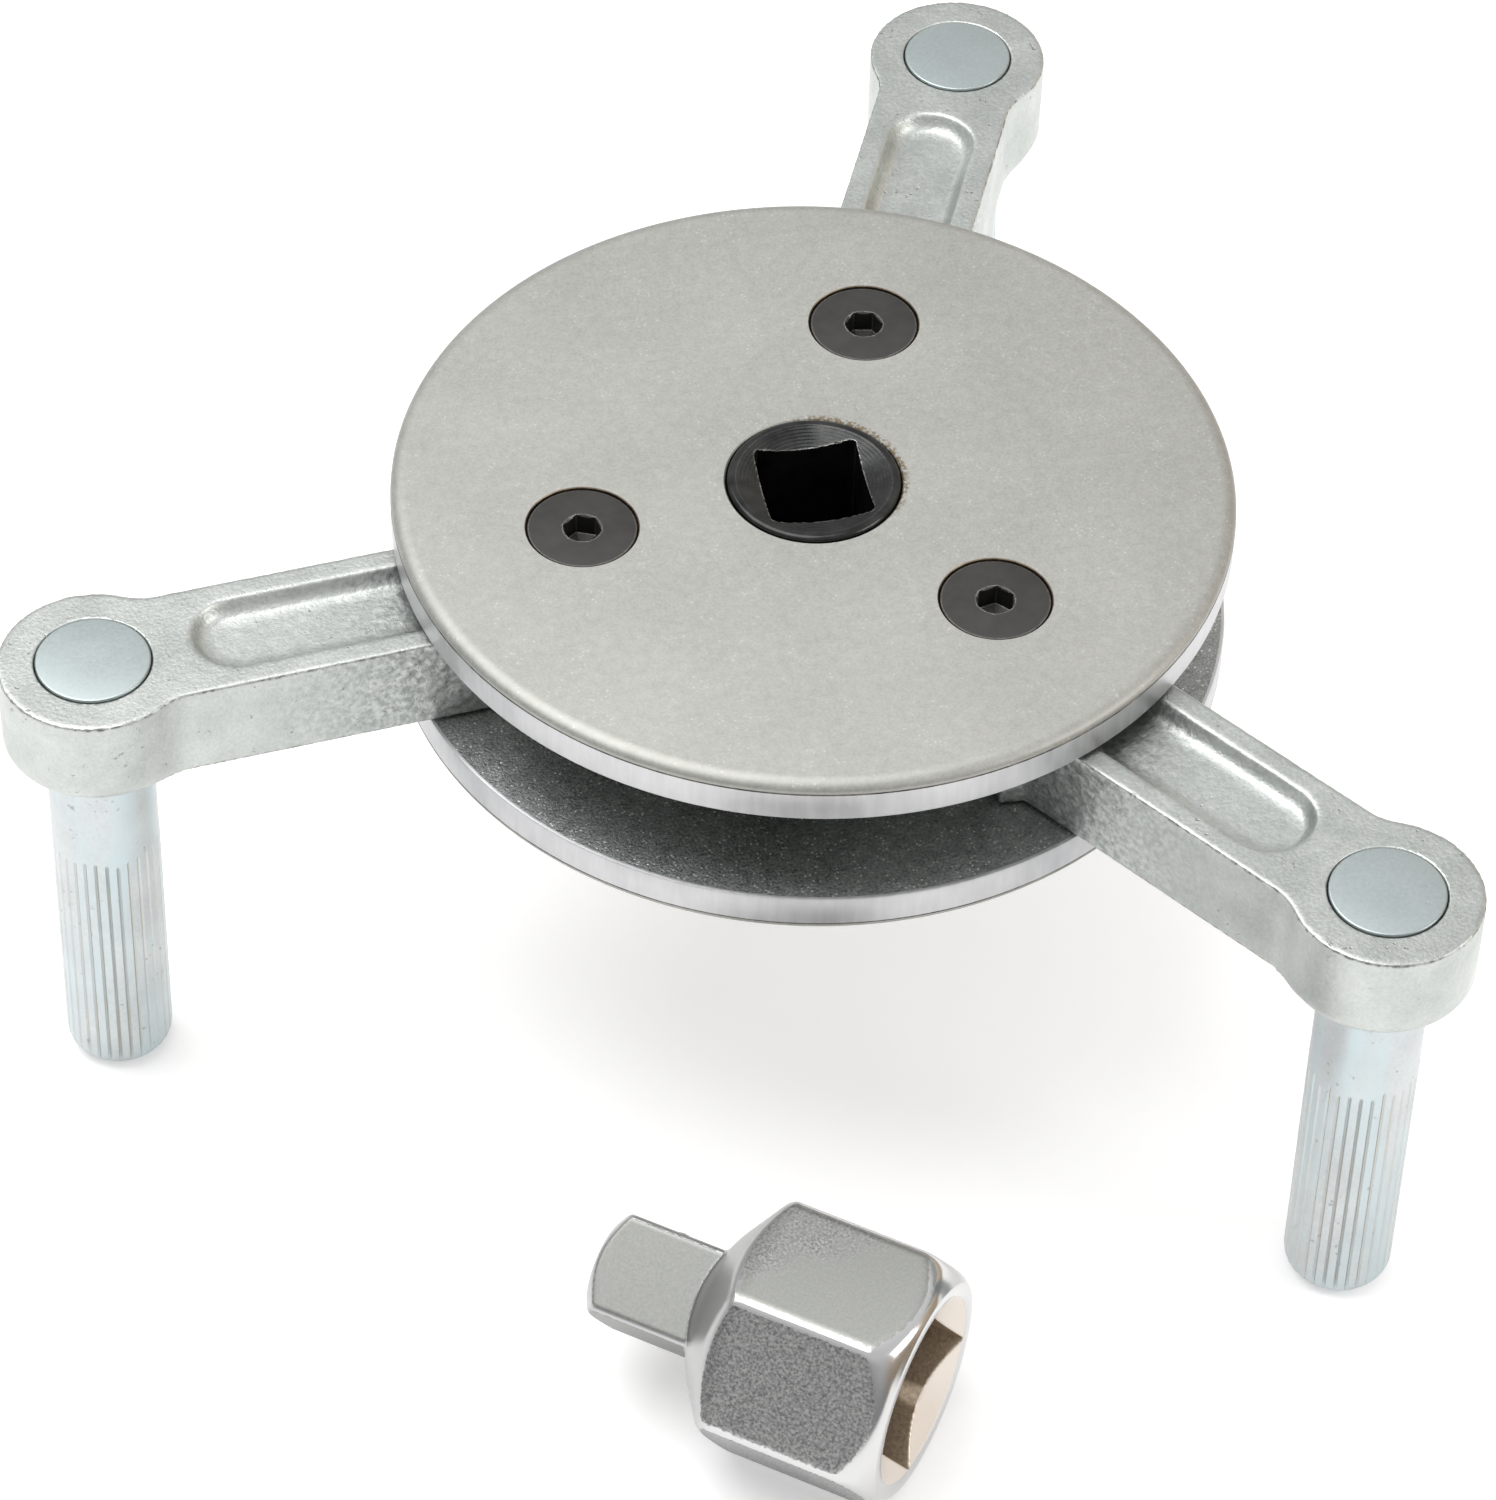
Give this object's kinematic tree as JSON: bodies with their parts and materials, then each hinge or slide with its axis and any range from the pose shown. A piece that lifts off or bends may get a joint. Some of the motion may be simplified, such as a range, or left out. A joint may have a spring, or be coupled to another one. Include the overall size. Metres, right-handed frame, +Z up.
{
  "type": "oil filter wrench",
  "caption": "Geared three-arm oil filter wrench with knurled grip pins and a square drive, with a loose hex drive adapter.",
  "frame": {"origin": "on the drive axis, at the closed lower face of the drive gear, level with the lower face of the bottom plate", "axes": "+Z up along the drive axis, out of the square drive hole; +X and +Y normal to the sides of the drive square; the arms point to 66.6, 186.6 and 306.6 degrees from +X"},
  "size_m": [0.1257, 0.1521, 0.0553],
  "materials": {
    "plate_steel": "blasted",
    "zinc_plate": "forged and zinc plated",
    "pin_steel": "bright, knurled",
    "post_steel": "turned",
    "black_oxide": "satin black oxide",
    "satin_chrome": "satin with polished edges",
    "spring_steel": "bright"
  },
  "bodies": {
    "frame": {"top_plate": "plate_steel", "bottom_plate": "plate_steel", "pivot_post_1": "post_steel", "pivot_post_2": "post_steel", "pivot_post_3": "post_steel", "plate_screw_1": "black_oxide", "plate_screw_2": "black_oxide", "plate_screw_3": "black_oxide"},
    "drive": {"drive_gear": "black_oxide"},
    "swing_arm_1": {"arm_1": "zinc_plate", "grip_pin_1": "pin_steel"},
    "swing_arm_2": {"arm_2": "zinc_plate", "grip_pin_2": "pin_steel"},
    "swing_arm_3": {"arm_3": "zinc_plate", "grip_pin_3": "pin_steel"},
    "adapter": {"adapter_body": "satin_chrome", "adapter_detent_spring": "spring_steel"},
    "detent_ball": {"adapter_detent_ball": "spring_steel"}
  },
  "joints": [
    {"name": "drive_spin", "type": "hinge", "parent": "frame", "child": "drive", "pos_m": [0, 0, 0], "axis": [0, 0, 1], "range_deg": [-100.2, 100.2]},
    {"name": "arm_1_swing", "type": "hinge", "parent": "frame", "child": "swing_arm_1", "pos_m": [0.00883, 0.0204, 0], "axis": [0, 0, 1], "range_deg": [-106, 106]},
    {"name": "arm_2_swing", "type": "hinge", "parent": "frame", "child": "swing_arm_2", "pos_m": [-0.02208, -0.00255, 0], "axis": [0, 0, 1], "range_deg": [-106, 106]},
    {"name": "arm_3_swing", "type": "hinge", "parent": "frame", "child": "swing_arm_3", "pos_m": [0.01325, -0.01784, 0], "axis": [0, 0, 1], "range_deg": [-106, 106]},
    {"name": "adapter_slide", "type": "slide", "parent": "frame", "child": "adapter", "axis": [1, 0, 0], "range_m": [-0.03, 0.03]},
    {"name": "detent_press", "type": "slide", "parent": "adapter", "child": "detent_ball", "axis": [0.5163, 0.6953, 0.5], "range_m": [-0.0006, 0], "stiffness_N_per_m": 2000, "springref_m": 0.0005, "deforming": ["adapter_detent_spring"]}
  ],
  "couplings": [
    {"joint": "drive_spin", "follows": "arm_1_swing", "ratio": -0.94444},
    {"joint": "arm_2_swing", "follows": "arm_1_swing", "ratio": 1},
    {"joint": "arm_3_swing", "follows": "arm_1_swing", "ratio": 1},
    {"joint": "adapter_slide", "follows": "arm_1_swing", "m_per_rad": 0.01606}
  ]
}
